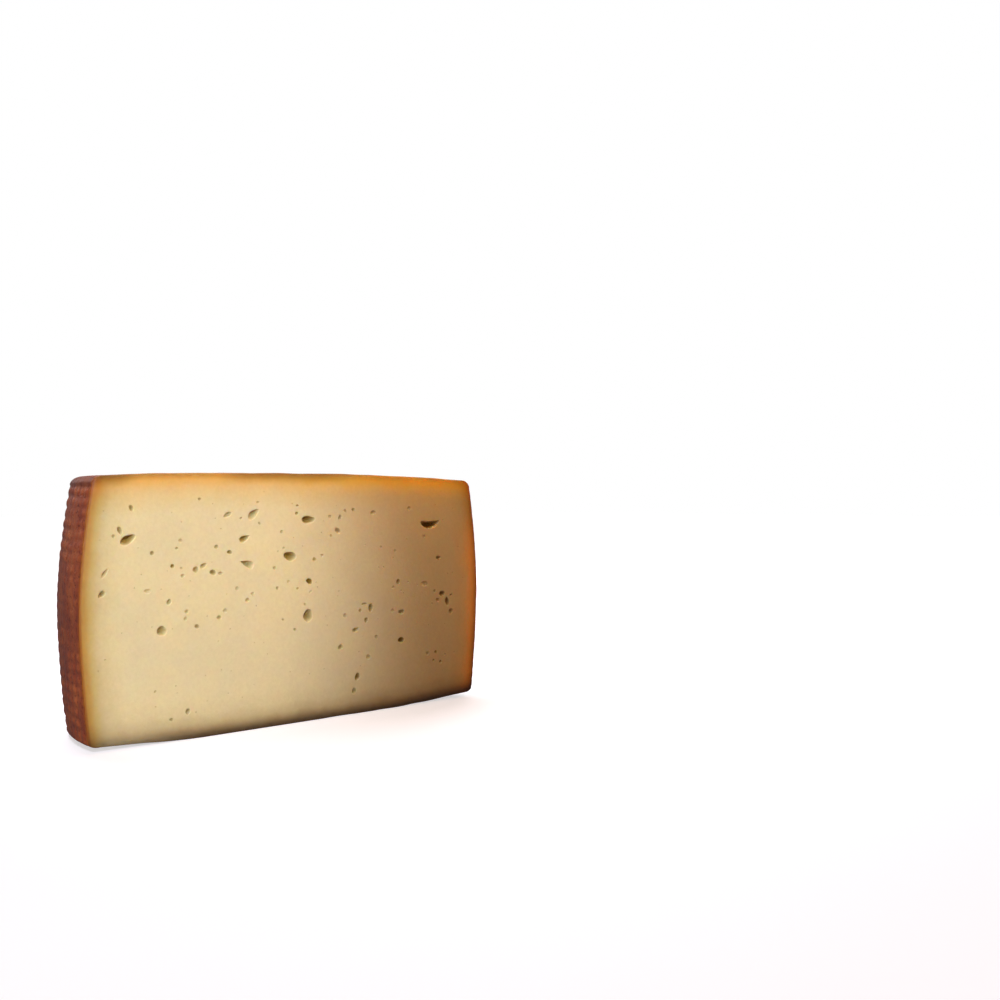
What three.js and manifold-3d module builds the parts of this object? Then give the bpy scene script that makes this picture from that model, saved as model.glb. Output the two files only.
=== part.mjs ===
// Half a wheel of hard sheep's milk cheese, cut straight through the middle and standing on its base.
// Millimetres, +Z up. The cut face looks along -Y and the round heel along +Y. The origin is on the
// surface that the cheese rests on, under the middle of its bounding box, so the wheel's own axis
// stands on the cut face at y = -CUT_BACK.

import * as THREE from 'three';
import { mergeVertices } from 'three/addons/utils/BufferGeometryUtils.js';
import Module from 'manifold-3d';

// The wheel
const DIAMETER = 200; // over the nubs of the mould's print, where the heel is widest
const HEIGHT = 107;
const WIDEST_AT = HEIGHT / 2;
const TOP_PULL_IN = 5.5; // the heel's radius is this much less at the top
const BASE_PULL_IN = 3.8; // and this much less at the base
const HEEL_POWER = 1.8; // 1 is a cone, 2 an arc

// The rims, as quarter ellipses
const TOP_RIM = { across: 4, tall: 4 };
const BASE_RIM = { across: 4.5, tall: 3 };
const RIM_STEPS = 3;

// The top sags a little towards its rim. The base rests flat in the middle and lifts towards its rim.
const TOP_SAG = 2.6;
const TOP_SAG_POWER = 3;
const BASE_FLAT_RADIUS = 50;
const BASE_LIFT = 2.9;
const BASE_LIFT_POWER = 1.25;
const FACE_RINGS = [0.45, 0.75]; // as shares of the face's radius

// The mould's print on the heel: a net of small nubs
const NUB_COLUMNS = 132; // round the whole wheel, 4.8 mm apart
const NUB_ROWS = 23; // up the heel, 4.3 mm apart
const NUB_HEIGHT = 0.6;

// Eyes: the small holes that show on the cut face
const EYE_DEPTH = 0.45; // as a share of the hole's mean width
const EYE_SUNK = 0.25; // how far its middle lies behind the face, as a share of its depth
const LARGE_EYE = 4; // mm; an eye this long gets more sides
const EYE_SIDES = { large: 12, small: 8 };
const EYE_RINGS = { large: 6, small: 4 };
const EYE_WOBBLE = 0.12;
const EYE_SEED = 20;

// x and z of the middle on the cut face, length and width, lean in degrees anticlockwise as seen from
// the front, and taper: how much narrower the end that the lean points to is (negative: wider).
const EYES = [
  { x: -81.0, z: 80.7, long: 6.2, wide: 2.8, lean: 27, taper: 0.5 },
  { x: -67.4, z: 44.9, long: 3.8, wide: 3.4 },
  { x: -8.0, z: 71.7, long: 6.1, wide: 3.4, lean: -10, taper: -0.15 },
  { x: 1.4, z: 87.7, long: 6.7, wide: 3.0, lean: 4, taper: 0.3 },
  { x: -30.0, z: 80.0, long: 4.7, wide: 2.2, lean: 28, taper: 0.5 },
  { x: -28.7, z: 69.2, long: 5.9, wide: 2.4, lean: -16, taper: -0.5 },
  { x: -25.4, z: 90.4, long: 5.6, wide: 2.8, lean: 24, taper: 0.3 },
  { x: 2.0, z: 60.7, long: 3.3, wide: 2.0, lean: -24 },
  { x: 1.3, z: 45.9, long: 5.2, wide: 4.4, lean: 90 },
  { x: 69.9, z: 84.7, long: 11.4, wide: 3.0, lean: 5, taper: 0.3 },
  { x: 53.2, z: 31.2, long: 3.7, wide: 1.9 },
  { x: -44.6, z: 66.9, long: 3.3, wide: 2.0, lean: -12 },
  { x: -52.3, z: 68.1, long: 2.8, wide: 2.3, lean: 30 },
  { x: -48.8, z: 69.8, long: 2.9, wide: 1.5, lean: 30 },
  { x: -37.9, z: 90.0, long: 3.9, wide: 1.9, lean: 20 },
  { x: -37.0, z: 74.4, long: 2.3, wide: 1.6 },
  { x: -64.2, z: 55.9, long: 2.5, wide: 2.0, lean: 55 },
  { x: -91.3, z: 60.4, long: 3.4, wide: 1.7, lean: 38, taper: -0.3 },
  { x: -90.6, z: 68.5, long: 4.0, wide: 1.1, lean: 55 },
  { x: -84.2, z: 84.2, long: 2.8, wide: 1.9, lean: 110 },
  { x: -79.9, z: 93.1, long: 2.4, wide: 1.9, lean: 80 },
  { x: 16.8, z: 82.6, long: 3.3, wide: 2.1, lean: -24 },
  { x: 18.0, z: 88.5, long: 2.5, wide: 1.9, lean: 65 },
  { x: 51.0, z: 58.4, long: 2.9, wide: 2.3 },
  { x: 52.8, z: 44.1, long: 3.5, wide: 1.9 },
  { x: 34.9, z: 47.3, long: 4.2, wide: 2.4, lean: 82 },
  { x: 32.4, z: 41.6, long: 2.4, wide: 2.1, lean: 60 },
  { x: 26.2, z: 37.7, long: 3.9, wide: 1.7, lean: 12 },
  { x: 18.1, z: 30.8, long: 2.7, wide: 2.2 },
  { x: 27.5, z: 16.9, long: 3.3, wide: 2.7 },
  { x: 25.8, z: 10.8, long: 2.7, wide: 2.2 },
  { x: -56.1, z: 12.0, long: 2.5, wide: 2.1, lean: 70 },
  { x: 74.8, z: 68.9, long: 3.1, wide: 1.9 },
  { x: 77.7, z: 50.3, long: 2.6, wide: 1.9 },
  { x: 83.7, z: 42.5, long: 2.4, wide: 1.9 },
  { x: 36.5, z: 90.3, long: 2.9, wide: 1.8, lean: 10 },
];

const CUT_BACK = DIAMETER / 4;

const wasm = await Module();
wasm.setup();

// The same numbers from 0 to 1 on every run
function seededRandom(seed) {
  let state = seed;
  return () => {
    state = (state * 1664525 + 1013904223) % 4294967296;
    return state / 4294967296;
  };
}

function solidOf(geometry) {
  geometry.deleteAttribute('normal');
  geometry.deleteAttribute('uv');
  const merged = mergeVertices(geometry);
  const vertProperties = new Float32Array(merged.attributes.position.array);
  const triVerts = new Uint32Array(merged.index.array);
  return new wasm.Manifold(new wasm.Mesh({ numProp: 3, vertProperties, triVerts }));
}

function geometryOf(solid) {
  const mesh = solid.getMesh();
  const geometry = new THREE.BufferGeometry();
  geometry.setAttribute('position', new THREE.BufferAttribute(mesh.vertProperties, 3));
  geometry.setIndex(new THREE.BufferAttribute(mesh.triVerts, 1));
  return geometry;
}

// The heel's radius between the nubs
function heelRadius(z) {
  const up = z > WIDEST_AT;
  const away = Math.abs(z - WIDEST_AT) / (up ? HEIGHT - WIDEST_AT : WIDEST_AT);
  return DIAMETER / 2 - NUB_HEIGHT - (up ? TOP_PULL_IN : BASE_PULL_IN) * away ** HEEL_POWER;
}

function topHeight(radius) {
  return HEIGHT - TOP_SAG * (radius / (DIAMETER / 2)) ** TOP_SAG_POWER;
}

function baseHeight(radius) {
  const out = Math.max(0, radius - BASE_FLAT_RADIUS) / (DIAMETER / 2 - BASE_FLAT_RADIUS);
  return BASE_LIFT * out ** BASE_LIFT_POWER;
}

// Rings of the base or top face, from the axis to the rim, then round the rim's quarter ellipse to the
// heel. direction is 1 where the rim rises from the face and -1 where it falls.
function faceProfile(faceHeight, faceRadius, rim, direction, rings) {
  const profile = rings.map((radius) => ({ radius, z: faceHeight(radius) }));
  const edgeHeight = faceHeight(faceRadius);
  const heelHeight = edgeHeight + direction * rim.tall;
  const across = heelRadius(heelHeight) - faceRadius;
  for (let step = 0; step <= RIM_STEPS; step++) {
    const turn = ((Math.PI / 2) * step) / RIM_STEPS;
    profile.push({
      radius: faceRadius + across * Math.sin(turn),
      z: edgeHeight + direction * rim.tall * (1 - Math.cos(turn)),
    });
  }
  return profile;
}

// The whole wheel. The heel is a net of square cells, each a low four-sided nub. The cells' corners
// lie half a cell off the cut, which so passes through the middles of two columns of nubs.
function wheelGeometry() {
  const baseEdge = heelRadius(0) - BASE_RIM.across;
  const topEdge = heelRadius(HEIGHT) - TOP_RIM.across;
  const baseRings = [BASE_FLAT_RADIUS, BASE_FLAT_RADIUS + (baseEdge - BASE_FLAT_RADIUS) / 2];
  const topRings = FACE_RINGS.map((share) => share * topEdge);
  const base = faceProfile(baseHeight, baseEdge, BASE_RIM, 1, baseRings);
  const top = faceProfile(topHeight, topEdge, TOP_RIM, -1, topRings).reverse();
  const heelFoot = base.at(-1).z;
  const rowHeight = (top[0].z - heelFoot) / NUB_ROWS;

  const points = [];
  const triangles = [];
  const turnOf = (column) => (2 * Math.PI * column) / NUB_COLUMNS;
  const add = (radius, turn, z) => {
    points.push(radius * Math.cos(turn), radius * Math.sin(turn), z);
    return points.length / 3 - 1;
  };
  const addRing = ({ radius, z }) => {
    const first = points.length / 3;
    for (let column = 0; column < NUB_COLUMNS; column++) add(radius, turnOf(column - 0.5), z);
    return (column) => first + (column % NUB_COLUMNS);
  };
  const joinRings = (low, high) => {
    for (let column = 0; column < NUB_COLUMNS; column++) {
      triangles.push(low(column), low(column + 1), high(column + 1));
      triangles.push(low(column), high(column + 1), high(column));
    }
  };

  const baseMiddle = add(0, 0, 0);
  const baseLoops = base.map(addRing);
  for (let column = 0; column < NUB_COLUMNS; column++) {
    triangles.push(baseMiddle, baseLoops[0](column + 1), baseLoops[0](column));
  }
  for (let ring = 1; ring < baseLoops.length; ring++) joinRings(baseLoops[ring - 1], baseLoops[ring]);

  let below = baseLoops.at(-1);
  const topLoops = [];
  for (let row = 0; row < NUB_ROWS; row++) {
    const isLast = row === NUB_ROWS - 1;
    const z = heelFoot + rowHeight * (row + 1);
    const above = addRing(isLast ? top[0] : { radius: heelRadius(z), z });
    if (isLast) topLoops.push(above);
    const nubZ = z - rowHeight / 2;
    for (let column = 0; column < NUB_COLUMNS; column++) {
      const nub = add(heelRadius(nubZ) + NUB_HEIGHT, turnOf(column), nubZ);
      triangles.push(below(column), below(column + 1), nub);
      triangles.push(below(column + 1), above(column + 1), nub);
      triangles.push(above(column + 1), above(column), nub);
      triangles.push(above(column), below(column), nub);
    }
    below = above;
  }

  for (const ring of top.slice(1)) {
    topLoops.push(addRing(ring));
    joinRings(topLoops.at(-2), topLoops.at(-1));
  }
  const topMiddle = add(0, 0, HEIGHT);
  for (let column = 0; column < NUB_COLUMNS; column++) {
    triangles.push(topMiddle, topLoops.at(-1)(column), topLoops.at(-1)(column + 1));
  }

  const geometry = new THREE.BufferGeometry();
  geometry.setAttribute('position', new THREE.Float32BufferAttribute(points, 3));
  geometry.setIndex(triangles);
  return geometry;
}

// One eye, as an uneven egg that the cut face passes through
function eyeGeometry({ x, z, long, wide, lean = 0, taper = 0 }, random) {
  const size = long >= LARGE_EYE ? 'large' : 'small';
  const geometry = new THREE.SphereGeometry(1, EYE_SIDES[size], EYE_RINGS[size]);
  const depth = EYE_DEPTH * Math.sqrt(long * wide);
  const phase = 2 * Math.PI * random();
  const position = geometry.attributes.position;
  for (let i = 0; i < position.count; i++) {
    const point = new THREE.Vector3().fromBufferAttribute(position, i);
    const around = Math.atan2(point.z, point.x);
    const uneven = 1 + EYE_WOBBLE * Math.sin(3 * around + phase);
    point.z *= 1 - taper * point.x;
    point.multiply(new THREE.Vector3((uneven * long) / 2, depth, (uneven * wide) / 2));
    position.setXYZ(i, point.x, point.y, point.z);
  }
  geometry.rotateY(THREE.MathUtils.degToRad(-lean));
  geometry.translate(x, EYE_SUNK * depth, z);
  return geometry;
}

function halfWheel() {
  const backHalf = new THREE.BoxGeometry(2 * DIAMETER, DIAMETER, 3 * HEIGHT);
  backHalf.translate(0, DIAMETER / 2, HEIGHT / 2);
  const random = seededRandom(EYE_SEED);
  let solid = solidOf(wheelGeometry()).intersect(solidOf(backHalf));
  for (const eye of EYES) solid = solid.subtract(solidOf(eyeGeometry(eye, random)));
  return geometryOf(solid);
}

const cheese = new THREE.MeshStandardMaterial({ color: 0xdccb9f, roughness: 0.6, metalness: 0 });
const half = new THREE.Mesh(halfWheel(), cheese);
half.name = 'half_wheel';
half.position.y = -CUT_BACK;

const pecorino = new THREE.Group();
pecorino.add(half);

export default pecorino;
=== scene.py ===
"""Half a wheel of hard sheep's milk cheese: its looks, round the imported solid.

Sizes are in millimetres, and MM turns them into Blender's metres. Shapes are worked out in the wheel's
own axes: x along the cut face, y into the cheese and z up, with the wheel's axis at x = y = 0. The part's
frame has the same directions, and its origin is CUT_BACK further into the cheese.
"""

import math

import bpy
import numpy as np
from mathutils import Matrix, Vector
from mathutils.geometry import delaunay_2d_cdt


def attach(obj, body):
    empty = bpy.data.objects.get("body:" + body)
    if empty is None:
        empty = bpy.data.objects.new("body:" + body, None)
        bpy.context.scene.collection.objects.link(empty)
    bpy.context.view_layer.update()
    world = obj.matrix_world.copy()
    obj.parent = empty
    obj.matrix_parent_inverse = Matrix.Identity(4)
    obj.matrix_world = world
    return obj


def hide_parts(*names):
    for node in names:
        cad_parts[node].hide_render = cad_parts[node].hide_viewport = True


MM = 0.001

# The wheel, as the solid has it
DIAMETER = 200.0  # over the nubs of the mould's print
HEIGHT = 107.0
WIDEST_AT = HEIGHT / 2
TOP_PULL_IN = 5.5
BASE_PULL_IN = 3.8
HEEL_POWER = 1.8
TOP_RIM = (4.0, 4.0)  # across and tall
BASE_RIM = (3.6, 2.2)
TOP_SAG, TOP_SAG_POWER = 2.6, 3
BASE_FLAT_RADIUS = 50.0
BASE_LIFT, BASE_LIFT_POWER = 2.9, 1.25
CUT_BACK = DIAMETER / 4

# The mould's print on the heel
NUB_COLUMNS = 66  # round the half
NUB_ROWS = 23
NUB_HEIGHT = 0.6
NUB_SHARE = (0.42, 0.35)  # half width round the heel and half height, as shares of the spacing
NUB_EVENNESS = (0.5, 1.0)  # the least and most of a nub's height
NUB_DRIFT = ((0.10, 45.0), (0.14, 38.0))  # how columns and rows wander: share of the spacing, wavelength
FAINT_PRINT = 0.40  # how much of the print is left at half height
PRINT_RETURNS = (0.1, 0.6)  # where it comes back, as shares of the way from half height to either face
WORN_PRINT = 0.35  # how much is left in the most worn places
WORN_PATCH = 26.0  # how large those are
WORN_SPAN = (-0.9, 0.1)  # the values of waves() at which the print is most worn and unworn
CUT_PRINT = 0.25  # how much is left right by the cut
CUT_PRINT_DEEP = 3.0  # and how far from the cut it is back in full
UNPRINTED = 0.75  # the heel's height where the print is worn away, as a share of a nub's
SWELL = 0.5  # how much the heel stands out at half height, over the solid's

# Mesh density
STEPS_PER_COLUMN = 6
STEPS_PER_ROW = 5
RIM_STEPS = 8
CAP_SPACING = 1.8
FACE_SPACING = 1.35
EDGE_SPACING = 1.2
JITTER = 0.22  # of the spacing
CAP_BANDS = ((0.9, 2), (2.2, 3))  # rows inside a cap's rim: how far in, and one point for how many of it
CAP_CLEAR = 3.4  # how far scattered points stay inside a cap's rim
BAND_CUT_CLEAR, CAP_CUT_CLEAR = 0.5, 0.8  # how far rows and scattered points stay from the cut
FACE_CLEAR, EYE_CLEAR = 0.9, 0.45  # how far the cut face's points stay from its edge and from the eyes
CUT_EDGE = 0.35  # the cut's worn edge, where the rind meets the cut face

# Unevenness of the surfaces: amplitude and wavelength
LUMPS = ((0.20, 55.0), (0.10, 16.0), (0.05, 5.0))
KNIFE_WAVES = ((0.10, 60.0), (0.035, 14.0))
KNIFE_DRAG = (0.012, 2.6, 78.0)  # amplitude, spacing and lean in degrees
KNIFE_BEND, KNIFE_PATCH = 50.0, 30.0  # wavelengths of the drag lines' bends and of their strength
KNIFE_CLEAR = 3.0  # how far from the rind the cut is as uneven as elsewhere
HOLLOWS = (0.16, 1.6)  # how uneven an eye's depth is: share and wavelength

# Eyes on the cut face: x and z of the middle, length, width, lean in degrees anticlockwise as seen
# from the front, taper (how much narrower the end is that the lean points to, or wider if negative),
# how deep and how dark with painted shade inside, and how much the ends bend up. Most of the places of
# eyes and pores come from the photograph's pixels, turned into millimetres with the fitted camera.
LARGE_EYES = (
    (-80.9, 80.5, 6.8, 3.4, 27, 0.45, 0.85, 0.0),
    (-67.0, 44.2, 4.3, 3.9, 0, 0.0, 0.60, 0.0),
    (-7.9, 71.6, 6.4, 3.9, -8, -0.10, 0.85, 0.0),
    (1.4, 87.1, 7.0, 3.3, 2, 0.15, 0.85, 0.0),
    (-29.9, 79.6, 5.2, 2.5, 22, 0.5, 0.75, 0.1),
    (-28.6, 69.1, 6.5, 2.8, -18, -0.5, 0.55, 0.0),
    (-25.6, 89.8, 6.2, 3.1, 38, 0.4, 0.50, 0.0),
    (2.1, 60.4, 3.4, 2.4, -25, 0.0, 1.20, 0.0),
    (1.4, 45.6, 5.6, 4.7, 80, 0.0, 0.70, 0.0),
    (70.2, 83.9, 11.6, 3.5, 4, 0.3, 0.95, 0.22),
    (52.8, 30.9, 3.9, 2.5, 0, 0.0, 1.00, 0.0),
)
SMALL_EYES = (
    (-44.6, 66.2, 3.3, 2.4, -15, 0.0, 0.60, 0.0),
    (-41.2, 65.7, 2.4, 1.6, 0, 0.0, 0.35, 0.0),
    (-52.3, 67.7, 2.9, 2.6, 20, 0.0, 0.55, 0.0),
    (-48.8, 69.2, 3.3, 1.9, 30, 0.3, 0.50, 0.0),
    (-37.8, 89.6, 4.3, 2.0, 25, 0.0, 0.45, 0.0),
    (-36.9, 74.2, 2.6, 1.8, -10, 0.0, 0.65, 0.0),
    (-63.9, 55.4, 2.7, 2.1, 55, 0.0, 0.50, 0.0),
    (-91.6, 59.9, 3.6, 2.0, 40, -0.3, 0.60, 0.0),
    (-90.4, 67.8, 4.4, 1.5, 52, 0.3, 0.40, 0.0),
    (-84.4, 83.9, 3.4, 2.0, 115, 0.0, 0.55, 0.0),
    (-79.7, 92.5, 2.8, 2.0, 115, 0.0, 0.50, 0.0),
    (17.0, 82.1, 3.7, 2.3, -28, 0.0, 0.50, 0.0),
    (18.2, 87.9, 2.8, 1.9, 70, 0.0, 0.45, 0.0),
    (50.9, 57.9, 2.9, 2.2, 85, 0.0, 0.60, 0.0),
    (52.8, 43.9, 3.8, 2.2, 5, 0.0, 0.55, 0.0),
    (35.1, 46.9, 4.2, 2.6, 82, 0.0, 0.65, 0.0),
    (32.6, 41.5, 2.6, 2.2, 60, 0.0, 0.50, 0.0),
    (31.4, 48.8, 3.2, 1.3, 6, 0.0, 0.40, 0.0),
    (26.6, 37.5, 4.1, 2.0, 12, 0.0, 0.50, 0.0),
    (18.5, 30.5, 3.0, 2.4, 20, 0.0, 0.50, 0.0),
    (33.9, 24.8, 2.8, 2.3, 0, 0.0, 0.30, 0.0),
    (27.7, 16.5, 3.7, 2.7, 65, 0.0, 0.80, 0.0),
    (26.0, 10.4, 2.9, 2.4, 80, 0.0, 0.45, 0.0),
    (-55.7, 11.3, 2.7, 2.3, 70, 0.0, 0.50, 0.0),
    (75.2, 68.2, 3.1, 2.0, 0, 0.0, 0.60, 0.0),
    (77.6, 51.0, 3.8, 2.7, 8, 0.0, 0.75, 0.1),
    (80.8, 47.3, 4.3, 2.5, 98, 0.2, 0.75, 0.1),
    (83.3, 50.2, 2.4, 1.0, 25, 0.0, 0.45, 0.0),
    (74.8, 48.2, 2.6, 2.1, 0, 0.0, 0.40, 0.0),
    (83.1, 42.3, 3.1, 2.6, 60, 0.0, 0.45, 0.0),
    (36.6, 89.9, 3.2, 2.0, 10, 0.0, 0.35, 0.0),
    (66.7, 56.3, 4.4, 2.6, 0, 0.0, 0.20, 0.0),
    (-73.0, 60.1, 3.2, 2.0, 0, 0.0, 0.20, 0.0),
)
# Pores: x and z of the middle, and how deep and how dark with painted shade inside; their size and lean are
# drawn.
PORES = (
    (-71.1, 74.9, 0.6), (-60.6, 76.5, 0.5), (-58.9, 79.5, 0.3), (-62.5, 69.5, 0.9), (-58.6, 68.5, 0.4),
    (-58.0, 65.5, 0.4), (-86.9, 81.8, 0.4), (-43.0, 76.6, 0.5), (-33.5, 59.2, 0.4), (-28.6, 54.2, 0.4),
    (-26.1, 56.6, 0.3), (-56.3, 51.1, 0.4), (-56.8, 48.4, 0.4), (-41.8, 47.8, 0.5), (-39.1, 50.4, 0.3),
    (-50.6, 96.0, 0.5), (-31.6, 88.1, 0.5), (-23.6, 94.7, 0.4), (-22.8, 85.9, 0.4), (-69.8, 20.8, 0.4),
    (-63.0, 9.0, 0.5), (-51.8, 44.9, 0.6), (-4.5, 89.9, 0.7), (-4.2, 93.2, 0.6), (-12.0, 82.1, 0.4),
    (-15.5, 66.9, 0.4), (-11.0, 75.2, 0.3), (4.7, 69.8, 0.5), (8.7, 71.5, 0.4), (-3.9, 57.7, 0.5),
    (-14.1, 58.3, 0.5), (-8.6, 60.8, 0.3), (2.7, 55.9, 0.3), (-11.3, 44.8, 0.5), (-5.3, 40.1, 0.5),
    (-0.2, 50.6, 0.4), (25.5, 91.3, 0.5), (21.0, 90.9, 0.4), (12.7, 88.3, 0.4), (29.2, 46.0, 0.5),
    (20.9, 44.3, 0.4), (38.3, 33.5, 0.4), (47.6, 44.9, 0.3), (13.4, 79.9, 0.3), (41.0, 74.2, 0.3),
    (49.0, 72.3, 0.3), (66.4, 78.5, 0.3), (57.4, 91.7, 0.3), (73.6, 23.5, 0.6), (72.3, 19.7, 0.6),
    (76.6, 18.7, 0.6), (68.6, 23.3, 0.3), (73.0, 52.5, 0.4), (79.4, 21.8, 0.3), (48.0, 55.5, 0.3),
)
PORE_LONG = (1.5, 2.5)
PORE_WIDE = (0.65, 0.95)  # as a share of its length
PORE_LEAN = (-40, 40)  # in degrees
DUST = 90  # pinholes, scattered
DUST_LONG = (0.5, 0.9)
DUST_WIDE = 0.85  # as a share of its length
DUST_ACROSS, DUST_UP = (-93, 93), (8, 100)  # where it lies on the cut
DUST_GAP = 1.6  # how far it stays from other eyes
EYE_WOBBLE = 0.07  # how uneven an eye's outline is
EYE_SIDE = 0.42  # how long the sides of its outline are, and how few and many it can have
EYE_SIDES = (9, 44)
# How deep each kind is, as a share of its mean width, and how dark the painted shade inside it is
LARGE, SMALL, PORE, PINHOLE = (0.50, 1.15), (0.38, 1.25), (0.28, 1.1), (0.25, 0.35)
LIP = {LARGE: 0.95, SMALL: 1.1, PORE: 1.2, PINHOLE: 1.0}  # how softly each kind's wall leaves the face
EYE_SHADE_EDGE = 0.6  # how sharply the painted shade inside an eye begins at its rim
# Rings of points in an eye, as shares of its width. The last is its rim.
EYE_RINGS = (0.0, 0.28, 0.5, 0.68, 0.82, 0.92, 0.975, 1.0)
FEW_RINGS = (0.0, 0.5, 0.85, 1.0)
RIM_GAP = 0.16  # from the rim to the ring of points outside it

# The camera, as found from the photograph, in the part's frame
LENS_PIXELS = 1168.0
PICTURE_PIXELS = 1000.0
CAMERA_PLACE = (-286.0, -473.4, 95.6)
CAMERA_TURN = -43.5

# Colours are linear. Each zone tints the paste by how deep it lies under the rind, as a share of
# ZONE_DEPTH; the right end's and top's zones also paint glow, and the base zone paints shade. Sizes of
# patches, specks and grain are in millimetres, as the rest is.
PASTE = (0.735, 0.645, 0.395)
PASTE_DEEP = (0.705, 0.625, 0.395)
PASTE_PATCH = 24.0
PASTE_GRAIN_SIZE = 1.3
PASTE_GRAIN = ((0.3, (0.94, 0.93, 0.90)), (0.7, (1.0, 1.0, 1.0)))
# Painted shade inside the eyes: darker and browner towards an eye's middle, by the eye attribute
EYE_SHADE_COLOURS = (
    (0.0, (1.0, 1.0, 1.0)),
    (0.25, (0.84, 0.81, 0.74)),
    (0.5, (0.62, 0.57, 0.42)),
    (0.75, (0.47, 0.37, 0.17)),
    (1.0, (0.35, 0.225, 0.03)),
)
PASTE_RELIEF = ((4.0, 4.0, 0.10), (0.8, 3.0, 0.035))  # size, detail and height
PASTE_ROUGHNESS = (0.52, 0.68)
ZONE_DEPTH = 16.0
ZONE_PATCH = 9.0  # how large the patches are where a zone reaches deeper or less deep
ZONE_UNEVEN = (0.5, 0.75)  # depths are multiplied by noise times the first plus the second
SIDE_ZONE_LEFT = (
    (0.00, (0.36, 0.15, 0.02)),
    (0.04, (0.58, 0.36, 0.11)),
    (0.14, (0.71, 0.53, 0.26)),
    (0.23, (0.77, 0.67, 0.43)),
    (0.37, (0.84, 0.79, 0.68)),
    (0.48, (0.90, 0.87, 0.80)),
    (0.71, (0.95, 0.94, 0.89)),
    (1.00, (1.00, 1.00, 1.00)),
)
# At the right end: the orange zone under the rind, with painted glow where the values pass 1, light shining
# in through the edge
SIDE_ZONE_AND_GLOW_RIGHT = (
    (0.00, (0.34, 0.15, 0.02)),
    (0.04, (0.68, 0.38, 0.09)),
    (0.14, (1.08, 0.62, 0.20)),
    (0.23, (1.25, 0.78, 0.35)),
    (0.37, (1.22, 0.90, 0.60)),
    (0.48, (1.12, 0.94, 0.73)),
    (0.71, (1.04, 0.95, 0.85)),
    (1.00, (1.00, 1.00, 1.00)),
)
TOP_ZONE_LEFT = (
    (0.00, (0.34, 0.19, 0.07)),
    (0.04, (0.50, 0.34, 0.12)),
    (0.09, (0.78, 0.49, 0.17)),
    (0.14, (0.90, 0.61, 0.24)),
    (0.19, (0.97, 0.68, 0.32)),
    (0.27, (0.98, 0.73, 0.42)),
    (0.37, (0.98, 0.79, 0.58)),
    (0.50, (0.97, 0.86, 0.68)),
    (0.69, (0.97, 0.92, 0.81)),
    (1.00, (1.00, 1.00, 1.00)),
)
# Along the top at the right: the orange zone under the rind, with painted glow where the values pass 1,
# light shining in through the top edge
TOP_ZONE_AND_GLOW_RIGHT = (
    (0.00, (0.44, 0.34, 0.14)),
    (0.04, (0.84, 0.64, 0.20)),
    (0.09, (1.12, 0.90, 0.23)),
    (0.16, (1.30, 1.04, 0.25)),
    (0.25, (1.30, 1.05, 0.34)),
    (0.35, (1.26, 1.05, 0.52)),
    (0.48, (1.16, 1.02, 0.70)),
    (0.62, (1.06, 1.00, 0.85)),
    (1.00, (1.00, 1.00, 1.00)),
)
RIGHT_ZONE_ENDS = (70.0, 98.0)  # how far up the right end's side zone gives way to the left's
TOP_TURNS = (-30.0, 60.0)  # where along the cut the left top zone gives way to the right one
TOP_LINE = (0.66, 0.60, 0.42)  # the dark line under the top rind
TOP_LINE_DEEP = (0.9, 5.5)  # it is full down to the first depth, in millimetres, and gone at the second
# How much of it shows, by the share of the way from the cut's left end to its right one
TOP_LINE_SHARE = ((0.0, 1.0), (0.08, 1.0), (0.12, 0.1), (0.28, 0.1), (0.36, 1.0), (0.55, 1.0), (0.62, 0.2))
# Along the base: the zone under the rind, with painted shade where the cheese meets the floor
BASE_ZONE_AND_SHADE = (
    (0.00, (0.11, 0.07, 0.045)),
    (0.08, (0.18, 0.135, 0.10)),
    (0.18, (0.39, 0.32, 0.26)),
    (0.25, (0.57, 0.50, 0.43)),
    (0.37, (0.77, 0.73, 0.66)),
    (0.62, (0.95, 0.94, 0.91)),
    (1.00, (1.00, 1.00, 1.00)),
)
BASE_PALER = (-95.0, -45.0, 0.40)  # where along the cut, and by what share, the base zone and its painted shade are weaker at the left
RIND_BLOTCH, RIND_PATCH, RIND_SPECKS = 9.0, 40.0, 1.7  # sizes
RIND_BLOTCHES = (
    (0.25, (0.20, 0.034, 0.015)),
    (0.45, (0.29, 0.064, 0.025)),
    (0.60, (0.36, 0.097, 0.033)),
    (0.78, (0.44, 0.150, 0.055)),
)
RIND_DARK_PATCH = (0.80, 0.72, 0.75)
RIND_SPECK = (0.55, 0.42, 0.40)
SPECK_SPAN = (0.56, 0.68)  # the noise at which a speck begins and at which it is full
# By the cut the rind is lighter and more orange: painted glow of light shining through its thin edge
RIND_GLOW_BY_CUT = ((0.0, (1.30, 1.45, 0.25)), (0.4, (1.20, 1.25, 0.45)), (1.0, (1.0, 1.0, 1.0)))
RIND_GLOW_BY_CUT_DEEP = 3.5  # how far from the cut the rind is lighter and more orange with painted glow
RIND_RIM = (0.62, 0.58, 0.66)  # the rim between the top and the heel is darker
RIND_RIM_OUT = (0.88, 0.95)  # where it begins and is full, as shares of the wheel's radius
RIND_RIM_DOWN = (8.0, 4.5)  # and how far below the top
RIND_PRINT = ((0.0, (0.84, 0.80, 0.80)), (0.5, (0.97, 0.96, 0.96)), (1.0, (1.0, 1.0, 1.0)))
RIND_PIT = (2.6, 0.12)  # size and depth
PIT_SPAN = (0.28, 0.42)  # the noise at which a pit is full and at which it ends
RIND_GRAIN = (0.7, 0.06)  # size and height
RIND_ROUGHNESS = (0.48, 0.64)
NOISE_SPAN = (0.3, 0.7)  # where most of a noise's values lie
PATCH_SPAN = (0.35, 0.65)  # the noise at which a patch begins and at which it is full

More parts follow.
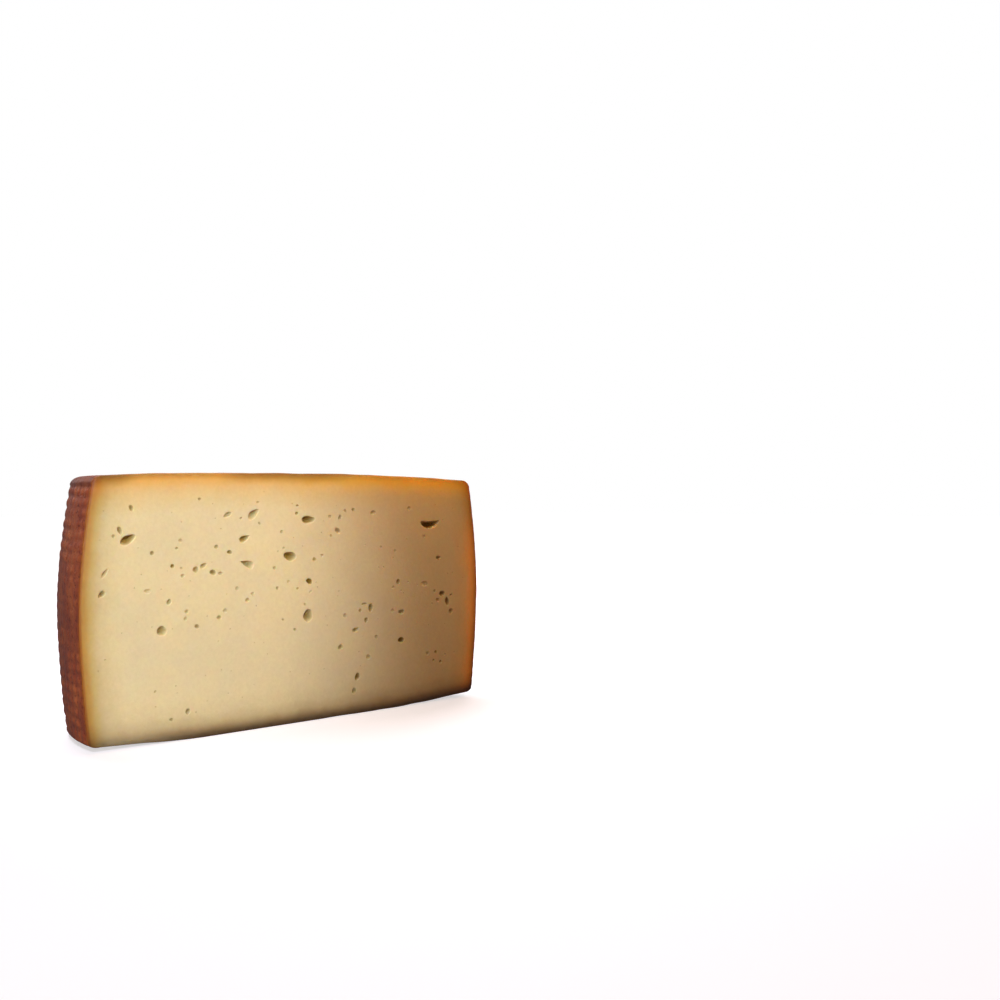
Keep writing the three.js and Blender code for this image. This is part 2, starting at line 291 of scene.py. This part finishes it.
# Stage and light, in metres
FLOOR_REACH = 6.0
FLOOR_GLOW = (0.60, 1.0)  # near the cheese and far off
GLOW_RISES = (0.5, 1.6)  # how far from the cheese it begins to rise, and is full
FLOOR_COLOUR = (0.53, 0.52, 0.60)
AMBIENT = 0.185
AMBIENT_COLOUR = (1.0, 0.47, 0.22)
SHEEN = 0.22  # the room as glossy surfaces mirror it
SHEEN_COLOUR = (0.90, 0.95, 1.0)
LIGHTS = (
    dict(
        name="key", place=(-0.65, -1.05, 0.62), aim=(-0.073, -0.05, 0.078), size=0.07, power=74.5,
        colour=(1.0, 1.0, 1.0), cone=9.3, blend=0.72, stretch=1.25,
    ),
    dict(
        name="left", place=(-0.19, 0.90, 0.48), aim=(-0.09, 0.0, 0.08), size=0.3, power=1.05,
        colour=(1.0, 0.96, 0.96),
    ),
    dict(
        name="low", place=(-0.80, -0.30, 0.10), aim=(-0.09, -0.03, 0.045), size=0.5, power=1.1,
        colour=(0.94, 1.0, 1.1),
    ),
    dict(
        name="right", place=(0.75, 0.60, 0.60), aim=(0.0, 0.0, 0.05), size=0.8, power=8.0,
        colour=(1.0, 0.98, 0.96),
    ),
    dict(
        name="top", place=(0.05, 0.30, 1.00), aim=(0.0, 0.0, 0.10), size=0.5, power=6.5,
        colour=(1.0, 0.98, 0.96),
    ),
    dict(
        name="upper", place=(0.063, -0.125, 0.205), aim=(0.035, -0.05, 0.085), size=0.08, power=0.118,
        colour=(1.0, 0.56, 0.28),
    ),
    dict(
        name="warm", place=(0.135, -0.085, 0.055), aim=(0.09, -0.05, 0.045), size=0.04, power=0.003,
        colour=(1.0, 0.65, 0.40),
    ),
)

SEED = 7


def waves(points, wavelength, seed, count=16):
    """A smooth uneven field, mostly from -1 to 1: plane waves of about one length in all directions."""
    draw = np.random.default_rng(seed)
    ways = draw.normal(size=(count, points.shape[-1]))
    ways /= np.linalg.norm(ways, axis=1, keepdims=True)
    ways *= 2 * math.pi / wavelength * draw.uniform(0.7, 1.4, (count, 1))
    phases = draw.uniform(0, 2 * math.pi, count)
    return np.sin(points @ ways.T + phases).sum(-1) / math.sqrt(2 * count)


def smoothstep(low, high, value):
    t = np.clip((value - low) / (high - low), 0, 1)
    return t * t * (3 - 2 * t)


def lumps(points, seed=SEED):
    return sum(size * waves(points, length, seed + n) for n, (size, length) in enumerate(LUMPS))


# ---------------------------------------------------------------- the wheel's form


def heel_radius(z):
    """The heel between its nubs."""
    up = z > WIDEST_AT
    away = np.abs(z - WIDEST_AT) / np.where(up, HEIGHT - WIDEST_AT, WIDEST_AT)
    pull_in = np.where(up, TOP_PULL_IN, BASE_PULL_IN)
    return DIAMETER / 2 - NUB_HEIGHT + SWELL * (1 - away) - pull_in * away**HEEL_POWER


def top_height(radius):
    return HEIGHT - TOP_SAG * (radius / (DIAMETER / 2)) ** TOP_SAG_POWER


def base_height(radius):
    out = np.maximum(radius - BASE_FLAT_RADIUS, 0) / (DIAMETER / 2 - BASE_FLAT_RADIUS)
    return BASE_LIFT * out**BASE_LIFT_POWER


def rim_profile(height_of, face_radius, rim, direction):
    """The quarter ellipse from a face's edge out to the heel: radius, z, and its normal's two parts."""
    across_wanted, tall = rim
    edge = float(height_of(face_radius))
    across = float(heel_radius(edge + direction * tall)) - face_radius
    turn = np.linspace(0, math.pi / 2, RIM_STEPS + 1)
    radius = face_radius + across * np.sin(turn)
    z = edge + direction * tall * (1 - np.cos(turn))
    return np.stack([radius, z, np.sin(turn), -direction * np.cos(turn)], 1)


BASE_EDGE = float(heel_radius(0.0)) - BASE_RIM[0]
TOP_EDGE = float(heel_radius(HEIGHT)) - TOP_RIM[0]


def side_profile():
    """Rings from the base face's edge up the heel to the top face's edge, and the heel's two ends."""
    base = rim_profile(base_height, BASE_EDGE, BASE_RIM, 1)
    top = rim_profile(top_height, TOP_EDGE, TOP_RIM, -1)[::-1]
    foot, head = base[-1, 1], top[0, 1]
    z = np.linspace(foot, head, NUB_ROWS * STEPS_PER_ROW + 1)[1:-1]
    heel = np.stack([heel_radius(z), z, np.ones_like(z), np.zeros_like(z)], 1)
    return np.concatenate([base, heel, top]), foot, head


def nub_print(turn, z, foot, head):
    """The mould's print: its height, from 0 between the nubs to about 1 on them, and how much is left."""
    place = np.stack([turn * DIAMETER / 2, z], -1)
    column_drift, row_drift = (
        size * waves(place, length, SEED + 20 + n) for n, (size, length) in enumerate(NUB_DRIFT)
    )
    column = turn / math.pi * NUB_COLUMNS + column_drift
    row = (z - foot) / (head - foot) * NUB_ROWS - 0.5 + row_drift
    nearest_column = np.clip(np.rint(column), 0, NUB_COLUMNS).astype(int)
    nearest_row = np.clip(np.rint(row), 0, NUB_ROWS - 1).astype(int)
    shape = np.exp(-np.abs((column - nearest_column) / NUB_SHARE[0]) ** 3)
    shape = shape * np.exp(-np.abs((row - nearest_row) / NUB_SHARE[1]) ** 3)
    heights = np.random.default_rng(SEED).uniform(*NUB_EVENNESS, (NUB_COLUMNS + 1, NUB_ROWS))
    away = np.abs(z - WIDEST_AT) / (HEIGHT / 2)
    faded = FAINT_PRINT + (1 - FAINT_PRINT) * smoothstep(*PRINT_RETURNS, away)
    wear = waves(place, WORN_PATCH, SEED + 22)
    worn = WORN_PRINT + (1 - WORN_PRINT) * smoothstep(*WORN_SPAN, wear)
    by_cut = CUT_PRINT + (1 - CUT_PRINT) * smoothstep(0, CUT_PRINT_DEEP, np.sin(turn) * DIAMETER / 2)
    return shape * heights[nearest_column, nearest_row], faded * worn * by_cut


# ---------------------------------------------------------------- the mesh


def triangulate(spots, loop, edges=()):
    """Triangles, as places in spots, that fill the loop with every spot as a corner."""
    _, _, faces, came_from, _, _ = delaunay_2d_cdt(
        [Vector(spot) for spot in spots], [tuple(e) for e in edges], [list(loop)], 1, 1e-7
    )
    return [[came_from[corner][0] for corner in face] for face in faces]


def scattered(low, high, spacing, seed):
    """Spots of a jittered triangular grid over a rectangle."""
    rows = np.arange(low[1], high[1], spacing * math.sqrt(3) / 2)
    columns = np.arange(low[0], high[0], spacing)
    x, y = np.meshgrid(columns, rows)
    x = x + np.where(np.arange(len(rows)) % 2, spacing / 2, 0)[:, None]
    draw = np.random.default_rng(seed)
    spots = np.stack([x.ravel(), y.ravel()], 1)
    return spots + spacing * JITTER * draw.uniform(-1, 1, spots.shape)


class Surface:
    """The vertices, faces and painted values of the whole closed mesh."""

    def __init__(self):
        self.points = np.zeros((0, 3))
        self.faces = []
        self.materials = []
        self.values = {"from_rind": [], "print": [], "eye": []}
        self.marked = {}

    def add_points(self, points, from_rind=0.0, print_=0.0, eye=0.0):
        first = len(self.points)
        self.points = np.concatenate([self.points, points])
        count = len(points)
        self.values["from_rind"].append(np.broadcast_to(from_rind, (count, 3)).copy())
        self.values["print"].append(np.broadcast_to(print_, count).copy())
        self.values["eye"].append(np.broadcast_to(eye, count).copy())
        return np.arange(first, first + count)

    def mark_rind(self, numbers, distances):
        for number, distance in zip(numbers, distances):
            self.marked[int(number)] = distance

    def add_faces(self, faces, material):
        self.faces.extend([int(v) for v in face] for face in faces)
        self.materials.extend([material] * len(faces))


RIND_SLOT, PASTE_SLOT = 0, 1


def build_heel(surface):
    """The heel and both rims, as a grid of rings and columns. Returns its vertex numbers."""
    profile, foot, head = side_profile()
    turns = np.linspace(0, math.pi, NUB_COLUMNS * STEPS_PER_COLUMN + 1)
    ring_radius, ring_z, out, up = (profile[:, n][:, None] for n in range(4))
    turn = turns[None, :] + 0 * ring_z
    z = ring_z + 0 * turn
    place = np.stack([ring_radius * np.cos(turn), ring_radius * np.sin(turn), z], -1)
    relief, left = nub_print(turn, z, foot, head)
    left = left * (out > 0.999)
    height = relief * left + UNPRINTED * (1 - left)
    relief = relief * left
    swell = NUB_HEIGHT * height * out + lumps(place)
    radius = ring_radius + out * swell
    points = np.stack([radius * np.cos(turn), radius * np.sin(turn), z + up * swell], -1)
    for column, side in ((0, 1), (-1, -1)):
        points[:, column, 0] = side * np.sqrt(radius[:, column] ** 2 - CUT_EDGE**2)
        points[:, column, 1] = CUT_EDGE
    points[..., 2] = np.maximum(points[..., 2], 0)
    grid = surface.add_points(points.reshape(-1, 3), print_=relief.ravel()).reshape(relief.shape)
    quads = np.stack([grid[:-1, :-1], grid[:-1, 1:], grid[1:, 1:], grid[1:, :-1]], -1)
    surface.add_faces(quads.reshape(-1, 4), RIND_SLOT)
    return grid


def build_cap(surface, ring, edge_radius, height_of, faces_up):
    """The wheel's top or base face, inside ring. Returns its straight edge, from left to right."""
    arc = surface.points[ring][:, :2]
    reach = arc[0, 0]
    steps = round(2 * reach / EDGE_SPACING)
    straight = np.stack([np.linspace(-reach, reach, steps + 1)[1:-1], np.full(steps - 1, CUT_EDGE)], 1)
    bands = []
    for inwards, every in CAP_BANDS:
        turn = np.linspace(0, math.pi, len(ring))[every::every]
        band = (edge_radius - inwards) * np.stack([np.cos(turn), np.sin(turn)], 1)
        bands.append(band[band[:, 1] > CUT_EDGE + BAND_CUT_CLEAR])
    inner = scattered((-edge_radius, 0), (edge_radius, edge_radius), CAP_SPACING, SEED + faces_up)
    within = np.linalg.norm(inner, axis=1) < edge_radius - CAP_CLEAR
    inner = inner[within & (inner[:, 1] > CUT_EDGE + CAP_CUT_CLEAR)]
    new = np.concatenate([straight, *bands, inner])
    z = height_of(np.linalg.norm(new, axis=1))
    points = np.column_stack([new, z])
    points[:, 2] += (1 if faces_up else -1) * lumps(points)
    points[:, 2] = np.maximum(points[:, 2], 0)
    numbers = np.concatenate([ring, surface.add_points(points)])
    spots = np.concatenate([arc, new])
    edge = len(ring) + np.arange(len(straight))
    loop = [len(ring) - 1, *edge, *range(len(ring) - 1)]
    triangles = numbers[np.array(triangulate(spots, loop))]
    surface.add_faces(triangles if faces_up else triangles[:, ::-1], RIND_SLOT)
    return numbers[[len(ring) - 1, *edge, 0]]


class Eye:
    """One small hole in the cut face, an uneven oval."""

    def __init__(self, x, z, long, wide, lean, taper, strength, bend, kind, draw):
        self.middle = np.array([x, z])
        self.half = np.array([long, wide]) / 2
        self.lean = math.radians(lean)
        self.taper = taper
        self.bend = bend * long / 2
        depth_share, dark = kind
        # how strongly shade is painted inside this eye
        self.dark = dark * strength
        self.depth = depth_share * math.sqrt(long * wide * strength)
        self.lip = LIP[kind]
        self.phases = draw.uniform(0, 2 * math.pi, 2)
        self.rings = FEW_RINGS if long < DUST_LONG[1] else EYE_RINGS
        around = math.pi * (long + wide) / 2
        self.sides = int(np.clip(round(around / EYE_SIDE), *EYE_SIDES))

    def uneven(self, angle):
        first, second = self.phases
        bent = 0.6 * np.sin(3 * angle + first) + 0.4 * np.sin(5 * angle + second)
        return 1 + EYE_WOBBLE * bent

    def at(self, share, angle):
        """The spot on the cut face at a share of the way to the rim."""
        along = share * self.uneven(angle) * np.cos(angle)
        across = share * self.uneven(angle) * np.sin(angle) * (1 - self.taper * along)
        local = np.stack([along * self.half[0], across * self.half[1] + self.bend * along**2], -1)
        turned = np.array(
            [[math.cos(self.lean), math.sin(self.lean)], [-math.sin(self.lean), math.cos(self.lean)]]
        )
        return self.middle + local @ turned

    def share_at(self, spots):
        """How far each spot lies from the middle, as a share of the way to the rim."""
        turned = np.array(
            [[math.cos(self.lean), -math.sin(self.lean)], [math.sin(self.lean), math.cos(self.lean)]]
        )
        along, across = ((spots - self.middle) @ turned).T
        along = along / self.half[0]
        across = (across - self.bend * along**2) / self.half[1] / np.maximum(1 - self.taper * along, 0.2)
        return np.hypot(along, across) / self.uneven(np.arctan2(across, along))


def make_eyes():
    draw = np.random.default_rng(SEED + 40)
    eyes = [Eye(*row, LARGE, draw) for row in LARGE_EYES]
    eyes += [Eye(*row, SMALL, draw) for row in SMALL_EYES]
    for x, z, strength in PORES:
        long = draw.uniform(*PORE_LONG)
        wide = long * draw.uniform(*PORE_WIDE)
        eyes.append(Eye(x, z, long, wide, draw.uniform(*PORE_LEAN), 0, strength, 0, PORE, draw))
    while len(eyes) < len(LARGE_EYES) + len(SMALL_EYES) + len(PORES) + DUST:
        spot = np.array([draw.uniform(*DUST_ACROSS), draw.uniform(*DUST_UP)])
        long = draw.uniform(*DUST_LONG)
        if min(np.linalg.norm(spot - eye.middle) - max(eye.half) for eye in eyes) > DUST_GAP:
            eyes.append(Eye(*spot, long, DUST_WIDE * long, draw.uniform(0, 180), 0, 1, 0, PINHOLE, draw))
    return eyes


def knife_relief(spots):
    """How far the cut stands proud of a true plane."""
    relief = sum(size * waves(spots, length, SEED + 60 + n) for n, (size, length) in enumerate(KNIFE_WAVES))
    size, spacing, lean = KNIFE_DRAG
    way = np.array([math.sin(math.radians(lean)), -math.cos(math.radians(lean))])
    lines = np.sin(2 * math.pi / spacing * (spots @ way) + 3 * waves(spots, KNIFE_BEND, SEED + 64))
    return relief + size * lines * (0.5 + 0.5 * waves(spots, KNIFE_PATCH, SEED + 65))


def rind_distances(spots):
    """How far each spot of the cut face lies from the heel, from the top and from the base."""
    x, z = np.abs(spots[:, 0]), spots[:, 1]
    return np.stack([heel_radius(z) - x, top_height(x) - z, z - base_height(x)], 1)


def build_cut(surface, outline):
    """The cut face inside the outline's vertex numbers, which run anticlockwise from the front."""
    outer = surface.points[outline][:, [0, 2]]
    tangent = np.roll(outer, -1, 0) - np.roll(outer, 1, 0)
    tangent /= np.linalg.norm(tangent, axis=1, keepdims=True)
    inner = outer + CUT_EDGE * np.stack([-tangent[:, 1], tangent[:, 0]], 1)

    eyes = make_eyes()
    spots, depths, darks, loops = [inner], [np.zeros(len(inner))], [np.zeros(len(inner))], []
    count = len(inner)
    for eye in eyes:
        angles = np.linspace(0, 2 * math.pi, eye.sides, endpoint=False)
        outside = 1 + RIM_GAP / eye.half.min()
        for share in (*eye.rings, outside):
            angle = angles if share else np.zeros(1)
            ring = eye.at(share, angle)
            inwards = max(1 - share**2, 0)
            spots.append(ring)
            depths.append(np.full(len(ring), eye.depth * inwards**eye.lip))
            # painted shade, strongest at the eye's middle and fading to its rim
            darks.append(np.full(len(ring), eye.dark * inwards**EYE_SHADE_EDGE))
            if share == 1:
                rim = count + np.arange(len(ring))
                loops.append(np.stack([rim, np.roll(rim, -1)], 1))
            count += len(ring)

    open_face = scattered((-DIAMETER / 2, 0), (DIAMETER / 2, HEIGHT), FACE_SPACING, SEED + 50)
    clear = rind_distances(open_face).min(1) > CUT_EDGE + FACE_CLEAR
    for eye in eyes:
        clear &= eye.share_at(open_face) > 1 + (RIM_GAP + EYE_CLEAR) / eye.half.min()
    open_face = open_face[clear]
    spots.append(open_face)
    depths.append(np.zeros(len(open_face)))
    darks.append(np.zeros(len(open_face)))

    spots = np.concatenate(spots)
    depth = np.concatenate(depths)
    dark = np.concatenate(darks)
    uneven, length = HOLLOWS
    hollow = depth * (1 + uneven * waves(spots, length, SEED + 70))
    away = smoothstep(0, KNIFE_CLEAR, rind_distances(spots).min(1))
    y = hollow - knife_relief(spots) * away
    # the eye attribute carries the painted shade inside the eyes
    numbers = surface.add_points(
        np.column_stack([spots[:, 0], y, spots[:, 1]]), from_rind=rind_distances(spots), eye=dark
    )
    triangles = triangulate(spots, range(len(inner)), np.concatenate(loops))
    surface.add_faces(numbers[np.array(triangles)], PASTE_SLOT)
    within = numbers[: len(inner)]
    bridge = np.stack([outline, np.roll(outline, -1), np.roll(within, -1), within], 1)
    surface.add_faces(bridge, PASTE_SLOT)
    surface.mark_rind(outline, np.maximum(rind_distances(outer), 0))


def build_half():
    surface = Surface()
    grid = build_heel(surface)
    base_line = build_cap(surface, grid[0], BASE_EDGE, base_height, False)
    top_line = build_cap(surface, grid[-1], TOP_EDGE, top_height, True)
    outline = [*base_line, *grid[1:-1, 0], *top_line[::-1], *grid[1:-1, -1][::-1]]
    build_cut(surface, np.array(outline))

    mesh = bpy.data.meshes.new("half_wheel_cheese")
    points = (surface.points - (0, CUT_BACK, 0)) * MM
    mesh.from_pydata(points.tolist(), [], surface.faces)
    mesh.polygons.foreach_set("material_index", surface.materials)
    mesh.polygons.foreach_set("use_smooth", [True] * len(surface.faces))
    for name, kind, field in (
        ("from_rind", "FLOAT_VECTOR", "vector"),
        ("print", "FLOAT", "value"),
        ("eye", "FLOAT", "value"),
    ):
        values = np.concatenate(surface.values[name])
        if name == "from_rind":
            values[list(surface.marked)] = list(surface.marked.values())
        mesh.attributes.new(name, kind, "POINT").data.foreach_set(field, values.ravel())
    mesh.update()
    half = bpy.data.objects.new("half_wheel_cheese", mesh)
    bpy.context.scene.collection.objects.link(half)
    return half


# ---------------------------------------------------------------- materials


class Tree:
    """A material's nodes, added one by one with their inputs set or linked."""

    def __init__(self, name):
        self.material = bpy.data.materials.new(name)
        self.material.use_nodes = True
        self.nodes = self.material.node_tree.nodes
        self.links = self.material.node_tree.links
        self.shader = self.nodes["Principled BSDF"]

    def set(self, node, inputs):
        for name, value in inputs.items():
            socket = node.inputs[name]
            if isinstance(value, bpy.types.NodeSocket):
                self.links.new(value, socket)
            elif isinstance(value, tuple):
                socket.default_value = (*value, 1.0)[: len(socket.default_value)]
            else:
                socket.default_value = value

    def add(self, kind, inputs, output=0, **settings):
        node = self.nodes.new("ShaderNode" + kind)
        for name, value in settings.items():
            setattr(node, name, value)
        self.set(node, inputs)
        return node.outputs[output]

    def math(self, operation, *values):
        return self.add("Math", dict(enumerate(values)), operation=operation)

    def mix(self, blend, share, a, b, **settings):
        return self.add("Mix", {0: share, 6: a, 7: b}, 2, data_type="RGBA", blend_type=blend, **settings)

    def ramp(self, value, stops):
        node = self.nodes.new("ShaderNodeValToRGB")
        elements = node.color_ramp.elements
        for place, _ in stops[1:-1]:
            elements.new(place)
        for element, (place, colour) in zip(elements, stops):
            element.position = place
            element.color = (*colour, 1.0)
        self.links.new(value, node.inputs[0])
        return node.outputs[0]

    def place(self):
        return self.add("TexCoord", {}, "Object")

    def noise(self, where, size, detail=2.0, roughness=0.5):
        """Noise from 0 to 1 whose blotches are about size millimetres across."""
        inputs = {"Vector": where, "Scale": 1 / (size * MM), "Detail": detail, "Roughness": roughness}
        return self.add("TexNoise", inputs)

    def fade(self, value, low, high, to_low=0.0, to_high=1.0):
        inputs = {"From Min": low, "From Max": high, "To Min": to_low, "To Max": to_high}
        return self.add("MapRange", {"Value": value, **inputs}, interpolation_type="SMOOTHSTEP")

    def attribute(self, name, output):
        return self.add("Attribute", {}, output, attribute_name=name)

    def parts(self, vector):
        node = self.nodes.new("ShaderNodeSeparateXYZ")
        self.links.new(vector, node.inputs[0])
        return node.outputs

    def bump(self, height, tall, normal=None):
        """Relief whose height, from 0 to 1, stands for tall millimetres."""
        inputs = {"Height": height, "Distance": tall * MM, "Strength": 1.0}
        if normal:
            inputs["Normal"] = normal
        return self.add("Bump", inputs)

    def finish(self, **inputs):
        self.set(self.shader, {name.replace("_", " "): value for name, value in inputs.items()})
        return self.material


def paste_material():
    tree = Tree("paste")
    where = tree.place()
    patchy = tree.noise(where, PASTE_PATCH, 3.0)
    spread = tree.math("MULTIPLY_ADD", tree.noise(where, ZONE_PATCH, 3.0), *ZONE_UNEVEN)
    colour = tree.mix("MIX", tree.fade(patchy, *PATCH_SPAN), PASTE, PASTE_DEEP)
    side, top, base = (
        tree.math("DIVIDE", tree.math("MULTIPLY", distance, spread), ZONE_DEPTH)
        for distance in tree.parts(tree.attribute("from_rind", "Vector"))
    )
    along, _, up = tree.parts(where)
    rightwards = tree.fade(along, *(place * MM for place in TOP_TURNS))
    # the right-hand top zone carries painted glow of light shining in through the top edge
    top_zone_and_glow = tree.mix("MIX", rightwards, tree.ramp(top, TOP_ZONE_LEFT), tree.ramp(top, TOP_ZONE_AND_GLOW_RIGHT))
    paler_from, paler_to, paler = BASE_PALER
    base_share = tree.fade(along, paler_from * MM, paler_to * MM, 1 - paler, 1.0)
    right_half = tree.math("GREATER_THAN", along, 0.0)
    low = tree.fade(up, *(height * MM for height in RIGHT_ZONE_ENDS), 1.0, 0.0)
    # the right end's side zone carries painted glow of light shining in through the edge
    left_zone, right_zone_and_glow = tree.ramp(side, SIDE_ZONE_LEFT), tree.ramp(side, SIDE_ZONE_AND_GLOW_RIGHT)
    side_zone_and_glow = tree.mix("MIX", tree.math("MULTIPLY", right_half, low), left_zone, right_zone_and_glow)
    colour = tree.mix("MULTIPLY", 1.0, colour, side_zone_and_glow)
    colour = tree.mix("MULTIPLY", 1.0, colour, top_zone_and_glow, clamp_result=True)
    ends = {"From Min": -DIAMETER / 2 * MM, "From Max": DIAMETER / 2 * MM}
    share_along = tree.add("MapRange", {"Value": along, **ends})
    shown = tree.ramp(share_along, [(at, (share,) * 3) for at, share in TOP_LINE_SHARE])
    under = tree.fade(top, *(depth / ZONE_DEPTH for depth in TOP_LINE_DEEP), 1.0, 0.0)
    colour = tree.mix("MULTIPLY", tree.math("MULTIPLY", shown, under), colour, TOP_LINE)
    # the base zone, with painted shade along the bottom where the cheese meets the floor
    colour = tree.mix("MULTIPLY", base_share, colour, tree.ramp(base, BASE_ZONE_AND_SHADE))
    grain = tree.noise(where, PASTE_GRAIN_SIZE, 3.0, 0.6)
    colour = tree.mix("MULTIPLY", 1.0, colour, tree.ramp(grain, PASTE_GRAIN))
    # painted shade inside the eyes
    colour = tree.mix("MULTIPLY", 1.0, colour, tree.ramp(tree.attribute("eye", "Fac"), EYE_SHADE_COLOURS))
    relief = None
    for size, detail, tall in PASTE_RELIEF:
        relief = tree.bump(tree.noise(where, size, detail, 0.6), tall, relief)
    return tree.finish(
        Base_Color=colour,
        Roughness=tree.fade(grain, *NOISE_SPAN, *PASTE_ROUGHNESS),
        Specular_IOR_Level=0.35,
        Subsurface_Weight=0.8,
        Subsurface_Radius=(1.0, 0.50, 0.20),
        Subsurface_Scale=4.0 * MM,
        Normal=relief,
    )


def rind_material():
    tree = Tree("rind")
    where = tree.place()
    blotches = tree.noise(where, RIND_BLOTCH, 4.0, 0.6)
    colour = tree.ramp(blotches, RIND_BLOTCHES)
    patches = tree.fade(tree.noise(where, RIND_PATCH, 2.0), *PATCH_SPAN)
    colour = tree.mix("MULTIPLY", patches, colour, RIND_DARK_PATCH)
    specks = tree.fade(tree.noise(where, RIND_SPECKS, 2.0, 0.6), *SPECK_SPAN)
    colour = tree.mix("MULTIPLY", specks, colour, RIND_SPECK)
    nubs = tree.attribute("print", "Fac")
    colour = tree.mix("MULTIPLY", 1.0, colour, tree.ramp(nubs, RIND_PRINT))
    _, inwards, up = tree.parts(where)
    # painted glow of light through the rind by the cut
    from_cut = tree.fade(inwards, -CUT_BACK * MM, (RIND_GLOW_BY_CUT_DEEP - CUT_BACK) * MM)
    colour = tree.mix("MULTIPLY", 1.0, colour, tree.ramp(from_cut, RIND_GLOW_BY_CUT))
    to_axis = {0: where, 1: (1, 1, 0), 2: (0, CUT_BACK * MM, 0)}
    flat = tree.add("VectorMath", to_axis, operation="MULTIPLY_ADD")
    from_axis = tree.add("VectorMath", {0: flat}, "Value", operation="LENGTH")
    outer = tree.fade(from_axis, *(share * DIAMETER / 2 * MM for share in RIND_RIM_OUT))
    upper = tree.fade(up, *((HEIGHT - down) * MM for down in RIND_RIM_DOWN))
    colour = tree.mix("MULTIPLY", tree.math("MULTIPLY", outer, upper), colour, RIND_RIM)
    (pit_size, pit_deep), (grain_size, grain_tall) = RIND_PIT, RIND_GRAIN
    pits = tree.fade(tree.noise(where, pit_size, 2.0), *PIT_SPAN)
    relief = tree.bump(pits, pit_deep)
    relief = tree.bump(tree.noise(where, grain_size, 4.0, 0.7), grain_tall, relief)
    return tree.finish(
        Base_Color=colour,
        Roughness=tree.fade(blotches, *NOISE_SPAN, *RIND_ROUGHNESS),
        Specular_IOR_Level=0.3,
        Subsurface_Weight=0.08,
        Subsurface_Radius=(1.0, 0.35, 0.12),
        Subsurface_Scale=1.5 * MM,
        Normal=relief,
    )


# ---------------------------------------------------------------- stage, camera and light


def add_floor():
    mesh = bpy.data.meshes.new("floor")
    corners = [(x * FLOOR_REACH, y * FLOOR_REACH, 0) for x, y in ((-1, -1), (1, -1), (1, 1), (-1, 1))]
    mesh.from_pydata(corners, [], [(0, 1, 2, 3)])
    floor = bpy.data.objects.new("floor", mesh)
    bpy.context.scene.collection.objects.link(floor)
    floor.visible_diffuse = floor.visible_glossy = False
    tree = Tree("floor")
    away = tree.add("VectorMath", {0: tree.place()}, "Value", operation="LENGTH")
    glow = tree.fade(away, *GLOW_RISES, *FLOOR_GLOW)
    mesh.materials.append(
        tree.finish(
            Base_Color=FLOOR_COLOUR,
            Roughness=0.8,
            Specular_IOR_Level=0.2,
            Emission_Color=(1.0, 1.0, 1.0),
            Emission_Strength=glow,
        )
    )


def add_camera():
    camera = bpy.data.cameras.new("camera")
    camera.sensor_width = 36.0
    camera.lens = 36.0 * LENS_PIXELS / PICTURE_PIXELS
    camera.clip_start = 0.01
    holder = bpy.data.objects.new("camera", camera)
    holder.location = Vector(CAMERA_PLACE) * MM
    holder.rotation_euler = (math.radians(90), 0, math.radians(CAMERA_TURN))
    bpy.context.scene.collection.objects.link(holder)
    bpy.context.scene.camera = holder


def add_light(name, place, aim, size, power, colour, cone=None, blend=0.0, stretch=1.0):
    """A round area light, or a spot light where a cone is given."""
    light = bpy.data.lights.new(name, "SPOT" if cone else "AREA")
    light.energy = power
    light.color = colour
    if cone:
        light.shadow_soft_size = size / 2
        light.spot_size = math.radians(cone)
        light.spot_blend = blend
    else:
        light.shape = "DISK"
        light.size = size
    holder = bpy.data.objects.new(name, light)
    holder.location = place
    holder.rotation_euler = (Vector(aim) - Vector(place)).to_track_quat("-Z", "Y").to_euler()
    holder.scale = (1.0, stretch, 1.0)
    holder.visible_camera = False
    bpy.context.scene.collection.objects.link(holder)


def glowing(background, colour, strength):
    """Sets a background node's light and returns the node."""
    background.inputs["Color"].default_value = (*colour, 1)
    background.inputs["Strength"].default_value = strength
    return background


def add_world():
    """The camera sees white, glossy surfaces mirror the sheen, and all else gets the ambient light."""
    world = bpy.data.worlds.new("studio")
    bpy.context.scene.world = world
    world.use_nodes = True
    nodes, links = world.node_tree.nodes, world.node_tree.links
    backdrop = glowing(nodes["Background"], (1, 1, 1), 1.0)
    ambient = glowing(nodes.new("ShaderNodeBackground"), AMBIENT_COLOUR, AMBIENT)
    sheen = glowing(nodes.new("ShaderNodeBackground"), SHEEN_COLOUR, SHEEN)
    rays = nodes.new("ShaderNodeLightPath")
    shown = ambient
    for kind, background in (("Is Glossy Ray", sheen), ("Is Camera Ray", backdrop)):
        chosen = nodes.new("ShaderNodeMixShader")
        links.new(rays.outputs[kind], chosen.inputs[0])
        links.new(shown.outputs[0], chosen.inputs[1])
        links.new(background.outputs[0], chosen.inputs[2])
        shown = chosen
    links.new(shown.outputs[0], nodes["World Output"].inputs["Surface"])


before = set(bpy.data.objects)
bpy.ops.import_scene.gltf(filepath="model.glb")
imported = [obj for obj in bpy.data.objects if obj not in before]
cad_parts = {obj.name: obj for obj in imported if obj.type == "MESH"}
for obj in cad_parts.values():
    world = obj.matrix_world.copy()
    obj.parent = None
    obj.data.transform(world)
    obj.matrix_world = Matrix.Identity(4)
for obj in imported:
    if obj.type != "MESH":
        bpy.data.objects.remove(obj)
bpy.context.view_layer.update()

cheese = build_half()
cheese.data.materials.append(rind_material())
cheese.data.materials.append(paste_material())
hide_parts("half_wheel")
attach(cheese, "root")

add_floor()
add_camera()
for light in LIGHTS:
    add_light(**light)
add_world()
bpy.context.scene.view_settings.view_transform = "Standard"
